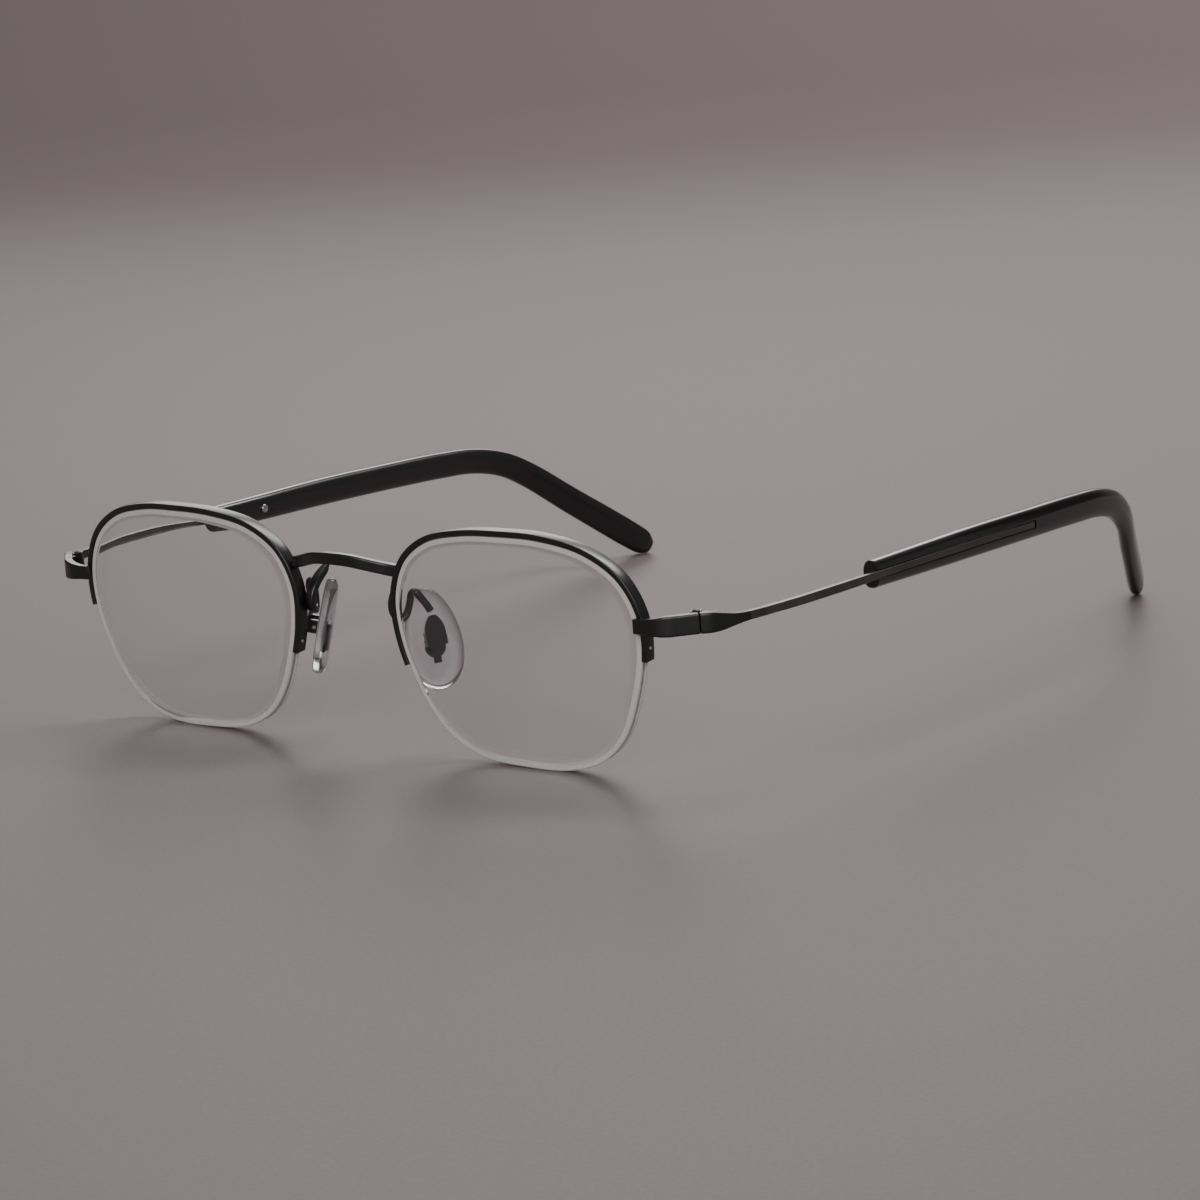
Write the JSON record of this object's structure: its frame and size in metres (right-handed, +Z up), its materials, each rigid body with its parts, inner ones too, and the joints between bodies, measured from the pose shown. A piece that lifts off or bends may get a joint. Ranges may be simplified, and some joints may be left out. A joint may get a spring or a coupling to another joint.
{
  "type": "half rim eyeglasses",
  "caption": "Half rim eyeglasses: clear lenses held by upper metal rims and nylon cords, with a bridge, rocking nose pads and folding wire temples with curved acetate tips.",
  "frame": {"origin": "middle of the base of the bounding box, on the surface the open glasses stand on", "axes": "+X towards the wearer's left, -Y towards the front of the lenses, temples run to +Y, +Z up"},
  "size_m": [0.1436, 0.1546, 0.0377],
  "materials": {
    "black_metal": "satin black lacquer over metal",
    "gunmetal": "dark polished gunmetal wire",
    "steel": "bright polished steel",
    "acetate": "polished black acetate",
    "lens": "clear polished demonstration lens with a ground edge",
    "nylon": "clear nylon line",
    "silicone": "clear soft silicone"
  },
  "bodies": {
    "front": {"bridge": "black_metal", "lens_left": "lens", "rim_left": "black_metal", "rim_liner_left": "nylon", "nylon_cord_left": "nylon", "endpiece_left": "black_metal", "hinge_front_left": "black_metal", "hinge_screw_left": "black_metal", "pad_arm_left": "black_metal", "pad_box_left": "black_metal", "pad_screw_left": "steel", "lens_right": "lens", "rim_right": "black_metal", "rim_liner_right": "nylon", "nylon_cord_right": "nylon", "endpiece_right": "black_metal", "hinge_front_right": "black_metal", "hinge_screw_right": "black_metal", "pad_arm_right": "black_metal", "pad_box_right": "black_metal", "pad_screw_right": "steel"},
    "temple_left_arm": {"hinge_rear_left": "black_metal", "temple_left": "gunmetal", "temple_tip_left": "acetate", "temple_rivet_left": "steel"},
    "nose_pad_left_rocker": {"pad_insert_left": "black_metal", "nose_pad_left": "silicone"},
    "temple_right_arm": {"hinge_rear_right": "black_metal", "temple_right": "gunmetal", "temple_tip_right": "acetate", "temple_rivet_right": "steel"},
    "nose_pad_right_rocker": {"pad_insert_right": "black_metal", "nose_pad_right": "silicone"}
  },
  "joints": [
    {"name": "temple_hinge_left", "type": "hinge", "parent": "front", "child": "temple_left_arm", "pos_m": [0.06445, -0.06846, 0.02465], "axis": [0, -0.0976, 0.9952], "range_deg": [0, 87]},
    {"name": "temple_hinge_right", "type": "hinge", "parent": "front", "child": "temple_right_arm", "pos_m": [-0.06445, -0.06846, 0.02465], "axis": [0, 0.0976, -0.9952], "range_deg": [0, 80]},
    {"name": "nose_pad_rock_left", "type": "hinge", "parent": "front", "child": "nose_pad_left_rocker", "pos_m": [0.013, -0.06704, 0.01775], "axis": [0.5572, 0.8268, 0.0771], "range_deg": [-5, 5]},
    {"name": "nose_pad_rock_right", "type": "hinge", "parent": "front", "child": "nose_pad_right_rocker", "pos_m": [-0.013, -0.06704, 0.01775], "axis": [0.5572, -0.8268, -0.0771], "range_deg": [-5, 5]}
  ]
}
